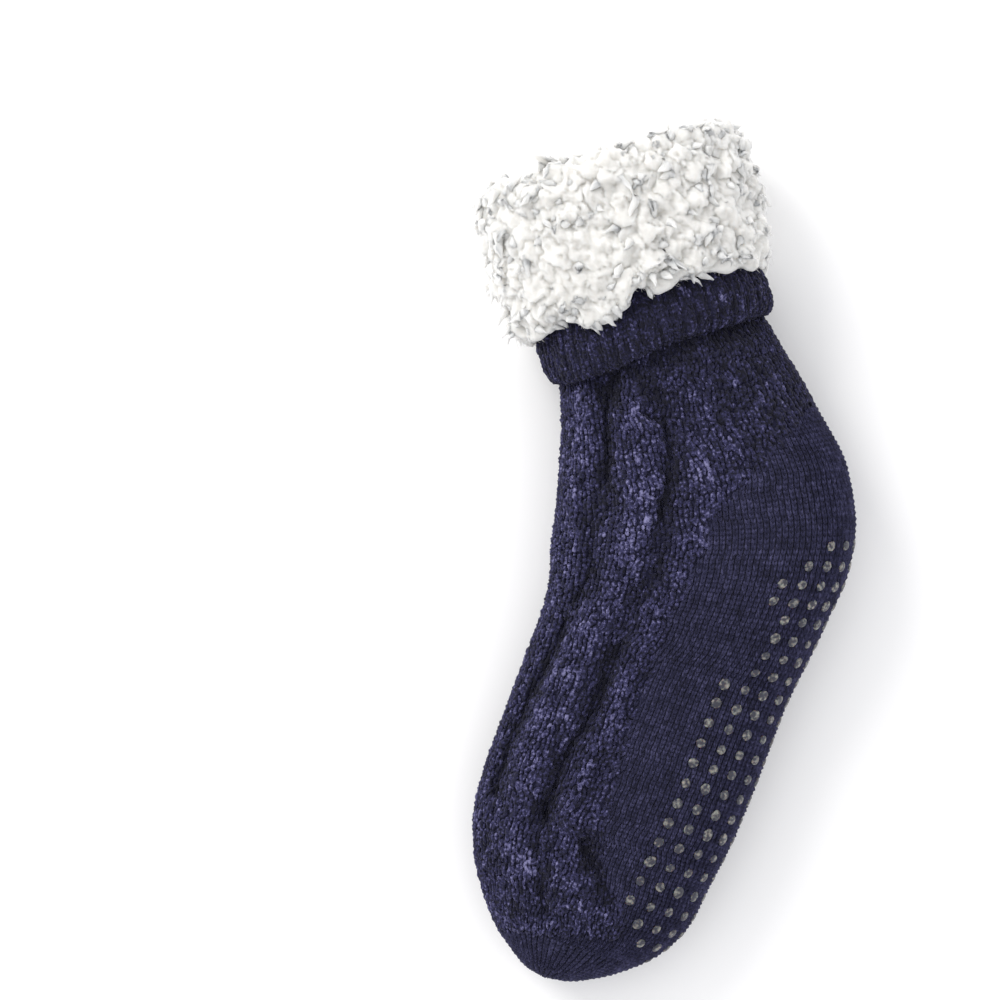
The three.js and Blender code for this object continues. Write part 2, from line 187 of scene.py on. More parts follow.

# %% [markdown]
# ## The surface that every stitch lies on
# One function gives the skin of the sock at any distance outside or inside the knit's face. The
# cable's furrows and swells are two tables of paths that lower or raise the side
# that faces up. The first table is the frame's own, and the second sharpens it.

# %% Furrows and swells of the cable
# width mm, depth mm (below zero for a swell), then places along and across the sock
FOLDS = [
    (11, 2.8, [(0.50, -0.56), (0.31, -0.59), (0.11, -0.63), (-0.06, -0.69), (-0.215, -0.78),
               (-0.35, -0.84), (-0.53, -0.86), (-0.66, -0.88)]),
    (12, 3.2, [(0.40, -0.19), (0.25, -0.15), (0.115, -0.23), (-0.075, -0.32), (-0.17, -0.38),
               (-0.31, -0.39), (-0.43, -0.37), (-0.52, -0.44), (-0.66, -0.45)]),
    (16, 1.8, [(-0.69, -0.09), (-0.76, 0.22)]),
    (13, 2.0, [(-0.74, -0.38), (-0.84, -0.30)]),
    (13, 1.6, [(0.463, -0.64), (0.482, -0.06), (0.50, 0.54), (0.51, 0.85)]),
    (14, -2.0, [(0.42, -0.80), (0.33, -0.82), (0.18, -0.85)]),
    (18, -2.4, [(0.33, -0.36), (0.23, -0.37), (0.12, -0.43)]),
    (15, -2.0, [(0.03, -0.50), (-0.08, -0.52)]),
    (16, -1.6, [(-0.20, -0.60), (-0.40, -0.62), (-0.60, -0.68)]),
    (14, -1.4, [(0.32, 0.12), (0.12, 0.02), (-0.10, -0.10)]),
]
# finer ones, in the same columns
CREASES = [
    (3.8, 3.4, [(0.42, -0.60), (0.36, -0.635), (0.30, -0.64), (0.25, -0.64), (0.19, -0.66)]),
    (11, 2.6, [(0.19, -0.74), (0.12, -0.76), (0.05, -0.73)]),
    (3.4, 2.4, [(0.20, -0.82), (0.12, -0.84), (0.07, -0.80), (0.03, -0.74), (-0.10, -0.74),
                (-0.18, -0.79)]),
    (5, -1.6, [(0.38, -0.56), (0.28, -0.56), (0.20, -0.585), (0.14, -0.58), (0.08, -0.53)]),
    (5, -1.6, [(0.38, -0.52), (0.34, -0.38), (0.31, -0.27), (0.26, -0.28)]),
    (3.8, 3.2, [(0.355, -0.33), (0.325, -0.20), (0.28, -0.185), (0.22, -0.21), (0.16, -0.24),
                (0.11, -0.28), (0.05, -0.31)]),
    (7, 2.2, [(0.118, -0.285), (0.10, -0.29)]),
    (11, 1.0, [(0.22, -0.42), (0.13, -0.40)]),
    (15, -1.6, [(0.23, -0.10), (0.17, -0.07), (0.12, -0.10)]),
    (4.5, 1.4, [(0.32, 0.00), (0.24, 0.06), (0.10, 0.12)]),
    (9, -1.5, [(0.10, -0.45), (0.02, -0.43), (-0.05, -0.38)]),
    (6, -1.5, [(0.05, -0.66), (-0.02, -0.665), (-0.09, -0.65)]),
    (6, 2.4, [(-0.085, -0.50), (-0.11, -0.49)]),
    (4, 1.8, [(-0.05, -0.30), (-0.09, -0.27), (-0.12, -0.19)]),
    (6, -1.2, [(-0.11, -0.25), (-0.16, -0.25), (-0.24, -0.25)]),
    (8, 2.0, [(0.48, -0.62), (0.44, -0.66)]),
    (4, 2.4, [(0.50, -0.47), (0.45, -0.52), (0.41, -0.58)]),
    (10, 2.0, [(0.49, -0.10), (0.505, 0.10)]),
    (10, 2.0, [(0.50, 0.50), (0.51, 0.66)]),
    (3.6, 3.4, [(-0.25, -0.82), (-0.30, -0.805), (-0.38, -0.83), (-0.45, -0.87), (-0.55, -0.88),
                (-0.66, -0.865)]),
    (9, -1.6, [(-0.22, -0.72), (-0.40, -0.75), (-0.52, -0.78), (-0.62, -0.76)]),
    (3.4, 2.0, [(-0.40, -0.71), (-0.46, -0.65), (-0.51, -0.57), (-0.56, -0.52)]),
    (4, 3.4, [(-0.27, -0.37), (-0.33, -0.37), (-0.41, -0.37), (-0.45, -0.40), (-0.49, -0.45),
              (-0.55, -0.465), (-0.62, -0.445), (-0.66, -0.45)]),
    (9, 1.8, [(-0.27, -0.43), (-0.33, -0.42), (-0.42, -0.39)]),
    (8, 3.6, [(-0.64, -0.475), (-0.67, -0.44)]),
    (10, -1.8, [(-0.32, -0.26), (-0.45, -0.30), (-0.55, -0.31), (-0.63, -0.32)]),
    (4.5, 1.6, [(-0.28, -0.11), (-0.42, -0.12), (-0.53, -0.17), (-0.60, -0.20)]),
    (8.5, 4.0, [(-0.685, -0.10), (-0.715, 0.00), (-0.75, 0.12), (-0.79, 0.22)]),
    (4, 2.0, [(-0.685, -0.13), (-0.72, -0.03), (-0.745, 0.05)]),
    (5, 2.8, [(-0.79, -0.39), (-0.83, -0.36), (-0.85, -0.31)]),
    (3.2, 2.0, [(-0.69, -0.48), (-0.73, -0.47)]),
    (3.2, 1.8, [(-0.69, -0.86), (-0.78, -0.90)]),
    (10, -1.2, [(-0.71, -0.65), (-0.80, -0.66)]),
    (8, -1.3, [(-0.70, -0.17), (-0.78, -0.22), (-0.84, -0.21)]),
]

folds = []
for wide, deep, path in FOLDS + CREASES:
    places = np.array([length_at(at) for at, share in path])
    centre, way = placed(places)
    share = np.array([share for at, share in path]) * smooth("half_depth", places)
    folds.append((wide, deep, centre + way * share[:, None]))


def lowering(points):
    """How far the furrows and swells lower the upper side at places in plan."""
    total = np.zeros(points.shape[:-1])
    for wide, deep, line in folds:
        nearest = np.full(points.shape[:-1], 1e9)
        for a, b in zip(line[:-1], line[1:]):
            way = b - a
            t = np.clip(((points - a) @ way) / (way @ way), 0, 1)
            nearest = np.minimum(nearest, np.linalg.norm(points - a - t[..., None] * way, axis=-1))
        total += deep * np.exp(-(nearest / (wide / 2))**2)
    return total


# %% The skin at a distance from the knit's face
TOP_ROUND = 2 / 2.15
BOTTOM_ROUND = 2 / 2.7
ARC_SAMPLES = 56


def power(value, exponent):
    return np.sign(value) * np.abs(value)**exponent


def skin(places, columns, out=0.0):
    """Points of the skin in mm, one row for each place, `columns` evenly round each row.
    `out` is one distance or one for each row. A row starts at the sole and goes over the top."""
    places = np.asarray(places, float)
    out = np.broadcast_to(np.asarray(out, float), places.shape)
    nose_start = NOSE_AT * FOOT_AXIS
    nose_length = FOOT_AXIS + nose_start
    tucked = (places < nose_start) & (out < 0)
    nose = np.array([nose_start])
    depth, height = smooth("half_depth", places), smooth("half_height", places)
    half_depth = np.where(tucked, depth * (1 + out / smooth("half_depth", nose)), depth + out)
    half_height = np.where(tucked, height * (1 + out / smooth("half_height", nose)), height + out)
    at = np.where(tucked, nose_start + (places - nose_start) * (1 + out / nose_length), places)
    centre, way = placed(at)
    rise = smooth("rise", at)
    level = np.maximum(0, rise - out)
    past = np.maximum(0, (nose_start - at) / nose_length)
    full = smooth("half_height", np.maximum(at, nose_start)) * (1 - NOSE_DROOP * past**2)
    middle_height = rise + full - FLOOR_PRESS
    halves = []
    for start, exponent in ((0, TOP_ROUND), (math.pi, BOTTOM_ROUND)):
        angle = start + np.linspace(0, math.pi, ARC_SAMPLES + 1)
        reach = half_depth[:, None] * power(np.cos(angle), exponent)
        plan = centre[:, None] + way[:, None] * reach[..., None]
        z = middle_height[:, None] + half_height[:, None] * power(np.sin(angle), exponent)
        if start == 0:
            t = np.clip(np.sin(angle) / 0.5, 0, 1)
            z -= lowering(plan) * t * t * (3 - 2 * t)
        z = np.maximum(z, level[:, None])
        curve = np.concatenate([plan, z[..., None]], -1)
        run = np.cumsum(np.linalg.norm(np.diff(curve, axis=1), axis=-1), axis=1)
        run = np.concatenate([np.zeros((len(places), 1)), run], 1)
        want = np.arange(columns // 2) / (columns // 2)
        half = np.empty((len(places), columns // 2, 3))
        for row in range(len(places)):
            for axis in range(3):
                half[row, :, axis] = np.interp(want * run[row, -1], run[row], curve[row, :, axis])
        halves.append(half)
    points = np.concatenate(halves, 1)
    points[..., :2] += ankle
    return points


def even_places(start, end, pitch):
    """Places along the sock whose rows lie `pitch` apart, measured over the skin."""
    fine = np.linspace(start, end, 500)
    rows = skin(fine, 24)
    run = np.concatenate([[0], np.cumsum(np.linalg.norm(np.diff(rows, axis=0), axis=-1).mean(1))])
    return np.interp(np.arange(0, run[-1], pitch), run, fine)


def ways(points):
    """Unit vectors along, around and out of a grid of points, and the two spacings."""
    along = np.gradient(points, axis=0)
    around = (np.roll(points, -1, axis=1) - np.roll(points, 1, axis=1)) / 2
    step, width = np.linalg.norm(along, axis=-1), np.linalg.norm(around, axis=-1)
    along = along / np.maximum(step, 1e-6)[..., None]
    around = around / np.maximum(width, 1e-6)[..., None]
    outward = np.cross(along, around)
    outward /= np.maximum(np.linalg.norm(outward, axis=-1), 1e-6)[..., None]
    return along, around, outward, step, width


def shares_across(places, points):
    """Where each point lies from the instep edge, -1, to the sole edge, 1."""
    centre, way = placed(np.asarray(places, float))
    off = points[..., :2] - ankle - centre[:, None]
    return (off * way[:, None]).sum(-1) / np.maximum(smooth("half_depth", places), 1)[:, None]


test_rows = even_places(-FOOT_AXIS * 0.99, LEG_AXIS, 20)
print("length over the skin about", len(test_rows) * 20, "mm")

# %% [markdown]
# ## Making meshes
# Large skins start as a grid primitive whose points are then wrapped round the sock, with its seam
# and ends merged. Thousands of stitches or wisps are one small shape repeated, and are quickest as
# one joined mesh built from arrays of points.

# %% Helpers for skins and for joined meshes
def activate(piece):
    bpy.ops.object.select_all(action="DESELECT")
    piece.select_set(True)
    bpy.context.view_layer.objects.active = piece


def wrapped_skin(name, rows, closed_rows=False):
    """A grid primitive wrapped onto rows of points, closed round each row. Rows are in mm."""
    bpy.ops.object.select_all(action="DESELECT")
    count, columns = rows.shape[0], rows.shape[1]
    steps = count if closed_rows else count - 1
    bpy.ops.mesh.primitive_grid_add(x_subdivisions=columns, y_subdivisions=steps, size=1)
    piece = bpy.context.object
    piece.name = name
    flat = np.empty(len(piece.data.vertices) * 3)
    piece.data.vertices.foreach_get("co", flat)
    flat = flat.reshape(-1, 3)
    column = np.rint((flat[:, 0] + 0.5) * columns).astype(int) % columns
    row = np.rint((flat[:, 1] + 0.5) * steps).astype(int) % count
    piece.data.vertices.foreach_set("co", (rows[row, column] * MM).ravel())
    activate(piece)
    bpy.ops.object.mode_set(mode="EDIT")
    bpy.ops.mesh.select_all(action="SELECT")
    bpy.ops.mesh.remove_doubles(threshold=1e-6)
    bpy.ops.mesh.normals_make_consistent(inside=False)
    bpy.ops.object.mode_set(mode="OBJECT")
    bpy.ops.object.shade_smooth()
    return piece


def apply_modifier(piece, kind, **settings):
    activate(piece)
    modifier = piece.modifiers.new(kind.lower(), kind)
    for key, value in settings.items():
        setattr(modifier, key, value)
    bpy.ops.object.modifier_apply(modifier=modifier.name)


FLOOR_CLEARANCE = 0.15


def joined(name, points, faces, tone=None):
    """One mesh of many copies: points is copies x corners x 3 in mm, faces index one copy.
    The tone is one value for each copy, or one for each corner of each."""
    copies, corners = points.shape[0], points.shape[1]
    points = points.reshape(-1, 3).copy()
    points[:, 2] = np.maximum(points[:, 2], FLOOR_CLEARANCE)
    every_face = (faces[None] + (np.arange(copies) * corners)[:, None, None]).reshape(-1, 3)
    mesh = bpy.data.meshes.new(name)
    mesh.vertices.add(len(points))
    mesh.vertices.foreach_set("co", (points * MM).astype(np.float32).ravel())
    mesh.loops.add(every_face.size)
    mesh.loops.foreach_set("vertex_index", every_face.astype(np.int32).ravel())
    mesh.polygons.add(len(every_face))
    mesh.polygons.foreach_set("loop_start", np.arange(0, every_face.size, 3, dtype=np.int32))
    mesh.polygons.foreach_set("use_smooth", np.ones(len(every_face), dtype=bool))
    mesh.update(calc_edges=True)
    if tone is not None:
        layer = mesh.attributes.new("tone", "FLOAT", "POINT")
        if tone.ndim == 1:
            tone = np.repeat(tone, corners)
        layer.data.foreach_set("value", tone.astype(np.float32).ravel())
    piece = bpy.data.objects.new(name, mesh)
    bpy.context.scene.collection.objects.link(piece)
    print(name, "has", copies, "copies and", len(every_face), "triangles")
    return piece


LEAF = np.array([(0, -1, 0), (1, 0, 0), (0, 0, 1), (-1, 0, 0), (0, 0, -1), (0, 1, 0)], float)
LEAF_FACES = np.array([(0, 1, 2), (0, 2, 3), (0, 3, 4), (0, 4, 1),
                       (5, 2, 1), (5, 3, 2), (5, 4, 3), (5, 1, 4)])


def loop_shape():
    """A small rounded bead of twenty faces, as the copy for a chenille loop."""
    bpy.ops.object.select_all(action="DESELECT")
    bpy.ops.mesh.primitive_ico_sphere_add(subdivisions=1, radius=1)
    bead = bpy.context.object
    corners = np.array([tuple(v.co) for v in bead.data.vertices])
    faces = np.array([tuple(p.vertices) for p in bead.data.polygons])
    bpy.data.objects.remove(bead)
    return corners, faces


BEAD, BEAD_FACES = loop_shape()


def laid(shape, centres, sideways, forwards, outwards):
    """Copies of a shape, each with its own three scaled directions."""
    return (centres[:, None] + shape[None, :, 0:1] * sideways[:, None]
            + shape[None, :, 1:2] * forwards[:, None] + shape[None, :, 2:3] * outwards[:, None])


print("a bead has", len(BEAD_FACES), "faces and a leaf has", len(LEAF_FACES))

# %% [markdown]
# ## Materials
# The chenille is a polyester yarn with a short cut pile standing round it, brushed soft. To the eye
# it is nearly black navy where the pile points at you and lavender where its sides catch the light,
# so its colour runs between those two with each loop's own tone, and sheen adds the soft edge. The
# plain side is the same yarn knitted tight and shows less of the lavender.

# %% One helper for colours and one for nodes
def hex_colour(code, alpha=1.0):
    """An sRGB hex value as the linear colour that Blender's sockets take."""
    parts = [int(code[i:i + 2], 16) / 255 for i in (1, 3, 5)]
    linear = [p / 12.92 if p <= 0.04045 else ((p + 0.055) / 1.055)**2.4 for p in parts]
    return (*linear, alpha)


def add_node(tree, kind, inputs=None, links=None, **settings):
    """Adds a node, sets its properties and inputs, and links its inputs to other outputs."""
    node = tree.nodes.new(kind)
    for key, value in settings.items():
        setattr(node, key, value)
    for key, value in (inputs or {}).items():
        node.inputs[key].default_value = value
    for key, socket in (links or {}).items():
        tree.links.new(socket, node.inputs[key])
    return node


def new_material(name, **inputs):
    """A material with a Principled shader, whose even values are set on its own sockets."""
    material = bpy.data.materials.new(name)
    material.use_nodes = True
    shader = material.node_tree.nodes["Principled BSDF"]
    for key, value in inputs.items():
        shader.inputs[key.replace("_", " ")].default_value = value
    return material, material.node_tree, shader


def give(piece, material):
    piece.data.materials.clear()
    piece.data.materials.append(material)
    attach(piece, "root")


# %% Chenille yarn
FLECK_MM = 1.4  # length of the tufts of cut pile that catch the light


def yarn_material(name, stops, sheen, flecks):
    """Yarn coloured by each stitch's tone and by fine fibres that run through it."""
    material, tree, shader = new_material(
        name, Roughness=0.88, Specular_IOR_Level=0.25, Sheen_Weight=sheen, Sheen_Roughness=0.45)
    shader.inputs["Sheen Tint"].default_value = hex_colour("#a9a7c4")
    place = add_node(tree, "ShaderNodeTexCoord").outputs["Object"]
    tone = add_node(tree, "ShaderNodeAttribute", attribute_name="tone").outputs["Fac"]
    fibres = add_node(tree, "ShaderNodeTexNoise",
                      {"Scale": 1 / (FLECK_MM * MM), "Detail": 3.0, "Roughness": 0.6},
                      {"Vector": place}).outputs["Fac"]
    patches = add_node(tree, "ShaderNodeTexNoise", {"Scale": 130.0, "Detail": 2.0},
                       {"Vector": place}).outputs["Fac"]
    from_tone = add_node(tree, "ShaderNodeMath", {1: 0.5, 2: 0.36 - 0.5 * flecks}, {0: tone},
                         operation="MULTIPLY_ADD").outputs[0]
    mixed = add_node(tree, "ShaderNodeMath", {1: flecks}, {0: fibres, 2: from_tone},
                     operation="MULTIPLY_ADD").outputs[0]
    shaded = add_node(tree, "ShaderNodeMath", {1: 0.5, 2: -0.25}, {0: patches},
                      operation="MULTIPLY_ADD")
    shaded = add_node(tree, "ShaderNodeMath", None, {0: shaded.outputs[0], 1: mixed},
                      operation="ADD").outputs[0]
    ramp = add_node(tree, "ShaderNodeValToRGB", None, {"Fac": shaded})
    ramp.color_ramp.elements[0].position, ramp.color_ramp.elements[0].color = stops[0]
    ramp.color_ramp.elements[1].position, ramp.color_ramp.elements[1].color = stops[-1]
    for position, colour in stops[1:-1]:
        ramp.color_ramp.elements.new(position).color = colour
    tree.links.new(ramp.outputs["Color"], shader.inputs["Base Color"])
    bump = add_node(tree, "ShaderNodeBump", {"Strength": 0.5, "Distance": 0.0004}, {"Height": fibres})
    tree.links.new(bump.outputs["Normal"], shader.inputs["Normal"])
    return material


chenille = yarn_material("brushed chenille yarn", [
    (0.22, hex_colour("#0d0d1a")), (0.46, hex_colour("#1f1f38")),
    (0.64, hex_colour("#343357")), (0.98, hex_colour("#7c7aa0"))], sheen=0.2, flecks=1.7)
plain_yarn = yarn_material("tight chenille yarn", [
    (0.20, hex_colour("#17172b")), (0.48, hex_colour("#2a2a45")),
    (0.85, hex_colour("#4b4a6b"))], sheen=0.16, flecks=1.0)
print("yarns:", chenille.name, plain_yarn.name)

# %% Fleece pile
# Polyester sherpa fleece, knitted with a long pile that is tumbled until it curls into clumps. It is
# white and lets light through, so even the creases between its clumps stay pale.
def pile_material(name, crest, crease):
    """Fleece whose creases are paler than its crests, because light scatters among the fibres."""
    material, tree, shader = new_material(
        name, Roughness=0.95, Specular_IOR_Level=0.15, Sheen_Weight=0.3, Sheen_Roughness=0.5,
        Subsurface_Weight=0.9, Subsurface_Scale=0.008)
    shader.inputs["Subsurface Radius"].default_value = (1.0, 0.95, 0.9)
    place = add_node(tree, "ShaderNodeTexCoord").outputs["Object"]
    curls = add_node(tree, "ShaderNodeTexNoise", {"Scale": 1300.0, "Detail": 5.0, "Distortion": 1.2},
                     {"Vector": place}).outputs["Fac"]
    tone = add_node(tree, "ShaderNodeAttribute", attribute_name="tone").outputs["Fac"]
    ramp = add_node(tree, "ShaderNodeValToRGB", None, {"Fac": tone})
    ramp.color_ramp.elements[0].position, ramp.color_ramp.elements[0].color = 0.0, hex_colour(crease)
    ramp.color_ramp.elements[1].position, ramp.color_ramp.elements[1].color = 0.8, hex_colour(crest)
    tree.links.new(ramp.outputs["Color"], shader.inputs["Base Color"])
    bump = add_node(tree, "ShaderNodeBump", {"Strength": 0.4, "Distance": 0.0006}, {"Height": curls})
    tree.links.new(bump.outputs["Normal"], shader.inputs["Normal"])
    return material


pile_white = pile_material("curled fleece pile", "#d8d7d3", "#e4e3df")
lining_white = pile_material("fleece lining", "#dedbd5", "#e8e5df")

# %% Grip dots
# Soft vinyl, printed on as drops and left clear enough that the navy yarn shows through. It is
# smoother than the yarn, so each drop has a small highlight.
grip, grip_tree, grip_shader = new_material(
    "clear vinyl drop", Roughness=0.38, IOR=1.5, Coat_Weight=0.25, Coat_Roughness=0.2,
    Subsurface_Weight=0.2, Subsurface_Scale=0.002, Transmission_Weight=0.25)
grip_place = add_node(grip_tree, "ShaderNodeTexCoord").outputs["Object"]
grip_grey_and_painted_glints = add_node(grip_tree, "ShaderNodeTexNoise", {"Scale": 560.0, "Detail": 3.0},
                      {"Vector": grip_place}).outputs["Fac"]
# the ramp runs from the navy seen through the vinyl to pale patches that are partly the vinyl's own
# grey and partly painted highlight
grip_glint_ramp = add_node(grip_tree, "ShaderNodeValToRGB", None, {"Fac": grip_grey_and_painted_glints})
grip_glint_ramp.color_ramp.elements[0].position = 0.47
grip_glint_ramp.color_ramp.elements[0].color = hex_colour("#28283a")
grip_glint_ramp.color_ramp.elements[1].position = 0.68
grip_glint_ramp.color_ramp.elements[1].color = hex_colour("#9e9c93")
grip_tree.links.new(grip_glint_ramp.outputs["Color"], grip_shader.inputs["Base Color"])
print("grip material:", grip.name)

# %% [markdown]
# ## The knit's ground
# Between real stitches you see down to the backs of the loops, which lie in shade; the ground's darker
# tone is painted shade. That ground is one closed skin: a grid wrapped from the toe to the fold, then
# thickened inwards by Solidify to the wall's real thickness. It replaces the plain solid of the frame.

# %% Knit ground
STITCH_RELIEF = 0.7  # mm that the stitches stand above their ground
ground_places = np.concatenate([[-FOOT_AXIS * 0.9995],
                                even_places(-FOOT_AXIS * 0.998, LEG_AXIS, 2.5), [LEG_AXIS]])
ground_rows = skin(ground_places, 150, -STITCH_RELIEF - 0.2)
ground_rows[0] = ground_rows[0].mean(0)
knit_ground = wrapped_skin("knit_ground", ground_rows)
apply_modifier(knit_ground, "SOLIDIFY", thickness=(KNIT_WALL - STITCH_RELIEF - 0.4) * MM, offset=-1)
# painted shade: the ground between the stitches gets a lower tone than the stitches
ground_painted_shade = knit_ground.data.attributes.new("tone", "FLOAT", "POINT")
ground_painted_shade.data.foreach_set("value", np.full(len(knit_ground.data.vertices), -0.05, np.float32))
give(knit_ground, plain_yarn)
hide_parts("knit_body")
print("knit ground:", len(knit_ground.data.polygons), "faces")

# %% [markdown]
# ## Plain stitches
# A plain knit stitch looks like a V of two plump legs, and the Vs stand in columns called wales.
# Each leg here is a small leaf of eight faces. The wales run along the sock and the rows go round
# it. Towards the toe the tube narrows, so every second wale ends there, as decreases do.

# %% Where the chenille ends and the plain knit begins
# place along the sock, then the share across at which the plain knit starts
PLAIN_EDGE = [(-1.0, -1.2), (-0.935, -1.0), (-0.90, -0.2), (-0.86, 0.50), (-0.80, 0.36), (-0.76, 0.17),
              (-0.66, 0.01), (-0.555, -0.06), (-0.42, -0.10), (-0.284, -0.10), (-0.144, -0.12),
              (0.042, 0.02), (0.12, 0.22), (0.20, 0.55), (0.27, 0.85), (0.34, 1.25), (0.52, 1.25)]
plain_edge_at = np.array([length_at(at) for at, share in PLAIN_EDGE])
plain_edge_share = np.array([share for at, share in PLAIN_EDGE])


def is_plain(places, points):
    edge = np.interp(places, plain_edge_at, plain_edge_share)
    ragged = 0.05 * np.sin(points[..., 0] * 0.9) * np.sin(points[..., 1] * 0.7)
    return shares_across(places, points) + ragged > edge[:, None]


HEM_PAINTED_SHADE = 0.256  # painted shade: tone lost from the ankle to the fold


def painted_hem_shade(places, chosen):
    """Painted shade: the knit is drawn darker towards the hem and the cuff above it."""
    darker = HEM_PAINTED_SHADE * np.clip(places / LEG_AXIS, 0, 1)
    return np.repeat(darker[:, None], chosen.shape[1], axis=1)[chosen]


random = np.random.default_rng(7)
LEG_END = HEM_BOTTOM + 6
WALE_PITCH = 2.5
COURSE_PITCH = 2.1
WALES = 120

# %% Lay the plain stitches
plain_places = even_places(-FOOT_AXIS * 0.9995, LEG_END, COURSE_PITCH)
plain_points = skin(plain_places, WALES, -STITCH_RELIEF * 0.45)
along, around, outward, step, width = ways(plain_points)
ring_width = width.mean(1, keepdims=True)
every_wale = 2**np.clip(np.floor(np.log2(WALE_PITCH * 1.25 / np.maximum(ring_width, 0.1))), 0, 5)
kept = (np.arange(WALES)[None] % every_wale == 0) & is_plain(plain_places, plain_points)
wide = width * every_wale
is_top = np.arange(WALES)[None] < WALES // 2
LEG_SLANT = math.radians(17)
LEG_ASIDE, LEG_WIDTH, LEG_LENGTH = 0.17, 0.28, 1.05  # as shares of the stitch
for label, side in (("upper", is_top), ("under", ~is_top)):
    chosen = kept & side
    legs, tones = [], []
    for hand in (-1, 1):
        w, h = wide[chosen][:, None], step[chosen][:, None]
        centre = plain_points[chosen] + around[chosen] * w * LEG_ASIDE * hand
        lean = along[chosen] * math.cos(LEG_SLANT) + around[chosen] * math.sin(LEG_SLANT) * hand
        aside = np.cross(lean, outward[chosen])
        wobble = 1 + 0.12 * random.standard_normal((len(centre), 1))
        legs.append(laid(LEAF, centre, aside * w * LEG_WIDTH * wobble, lean * h * LEG_LENGTH,
                         outward[chosen] * STITCH_RELIEF * 1.5 * wobble))
        tones.append(random.normal(0.22, 0.16, len(centre)) - painted_hem_shade(plain_places, chosen))
    plain_stitches = joined("plain_stitches_" + label, np.concatenate(legs), LEAF_FACES,
                            np.concatenate(tones))
    give(plain_stitches, plain_yarn)

# %% [markdown]
# ## Chenille loops
# Over the instep and leg the yarn is worked loosely, so its loops stand up as soft beads that lie
# this way and that. On the side that shows, each is a bead of twenty faces with its own size and
# lean, and underneath a leaf. The tone runs on over two or three loops, so light falls in streaks.

# %% Lay the chenille loops
LOOP_PITCH = 2.15
LOOP_WIDTH, LOOP_LENGTH, LOOP_HEIGHT = 0.5, 0.86, 1.1  # shares of the pitches, and mm
LOOP_COLUMNS = 138
loop_places = even_places(-FOOT_AXIS * 0.965, LEG_END, LOOP_PITCH * 1.15)
loop_points = skin(loop_places, LOOP_COLUMNS, -STITCH_RELIEF * 0.2)
along, around, outward, step, width = ways(loop_points)
ring_width = width.mean(1, keepdims=True)
every_loop = 2**np.clip(np.floor(np.log2(LOOP_PITCH * 1.25 / np.maximum(ring_width, 0.1))), 0, 4)
loop_kept = (np.arange(LOOP_COLUMNS)[None] % every_loop == 0) & ~is_plain(loop_places, loop_points)
loop_wide = width * every_loop
loop_top = np.arange(LOOP_COLUMNS)[None] < LOOP_COLUMNS // 2


def loop_tones(points, streak, near_edge):
    """Lit streaks of two or three loops, with painted light on the cable's swells and painted shade in
    its furrows.
    """
    lit = np.clip(streak - 0.9, 0, 1.2) * 0.22
    low = np.clip(lowering(points[:, :2] - ankle), -3, 5)
    return 0.2 + (0.09 * streak + lit) * near_edge - 0.10 * low


def streaks(shape):
    """Random values that run together for two or three loops along each wale."""
    value = random.standard_normal(shape)
    value = value + 0.9 * np.roll(value, 1, axis=0) + 0.5 * np.roll(value, 2, axis=0)
    return value / value.std()


loop_streaks = streaks(loop_points.shape[:2])
edge = np.interp(loop_places, plain_edge_at, plain_edge_share)[:, None]
loop_shares = shares_across(loop_places, loop_points)
fade = np.clip((edge - loop_shares) / 0.3, 0.15, 1)
# painted shade: the loops on the back of the leg are darker
leg_back_painted_shade = 0.34 * np.clip(loop_shares - 0.1, 0, 0.6) * (loop_places > 0)[:, None]
PAINTED_CROWN_LIGHT = 0.14  # painted light and shade: how much lighter a loop is drawn on its crown than at its foot
for label, side in (("upper", loop_top), ("under", ~loop_top)):
    chosen = loop_kept & side
    count = int(chosen.sum())
    turn = random.normal(0, 0.26, (count, 1))
    lean = along[chosen] * np.cos(turn) + around[chosen] * np.sin(turn)
    aside = np.cross(lean, outward[chosen])
    aside_by = random.normal(0, 0.28, (count, 1))
    drift = around[chosen] * aside_by + along[chosen] * random.normal(0, 0.5, (count, 1))
    size = 1 + 0.2 * random.standard_normal((count, 1))
    w, h = loop_wide[chosen][:, None], step[chosen][:, None]
    shape, faces = (BEAD, BEAD_FACES) if label == "upper" else (LEAF, LEAF_FACES)
    beads = laid(shape, loop_points[chosen] + drift, aside * w * LOOP_WIDTH * size,
                 lean * h * LOOP_LENGTH * size, outward[chosen] * LOOP_HEIGHT * size)
    tones = loop_tones(loop_points[chosen], loop_streaks[chosen], fade[chosen])
    tones = (tones - painted_hem_shade(loop_places, chosen) - leg_back_painted_shade[chosen])[:, None]
    tones = tones + PAINTED_CROWN_LIGHT * shape[:, 2][None]
    chenille_loops = joined("chenille_loops_" + label, beads, faces, tones)
    give(chenille_loops, chenille)

# %% [markdown]
# ## The turned-down rib
# The leg's ribbed top is turned down outside the leg and ends in a doubled, rolled hem. Its skin is
# a closed ring of rows: up the hidden inside, over nothing, and down the outside, with the ribs
# pressed in as a wave that is strongest on the hem.

# %% Rib skin
RIB_DEPTH = 1.4
FINE_RIBS = 43  # finer than the frame's 28, which its plain solids keep wide
RIB_COLUMNS = FINE_RIBS * 8
face = LAYER_GAP + HEM_THICKNESS
back = LAYER_GAP + KNIT_WALL
hem_top = HEM_BOTTOM + HEM_LENGTH
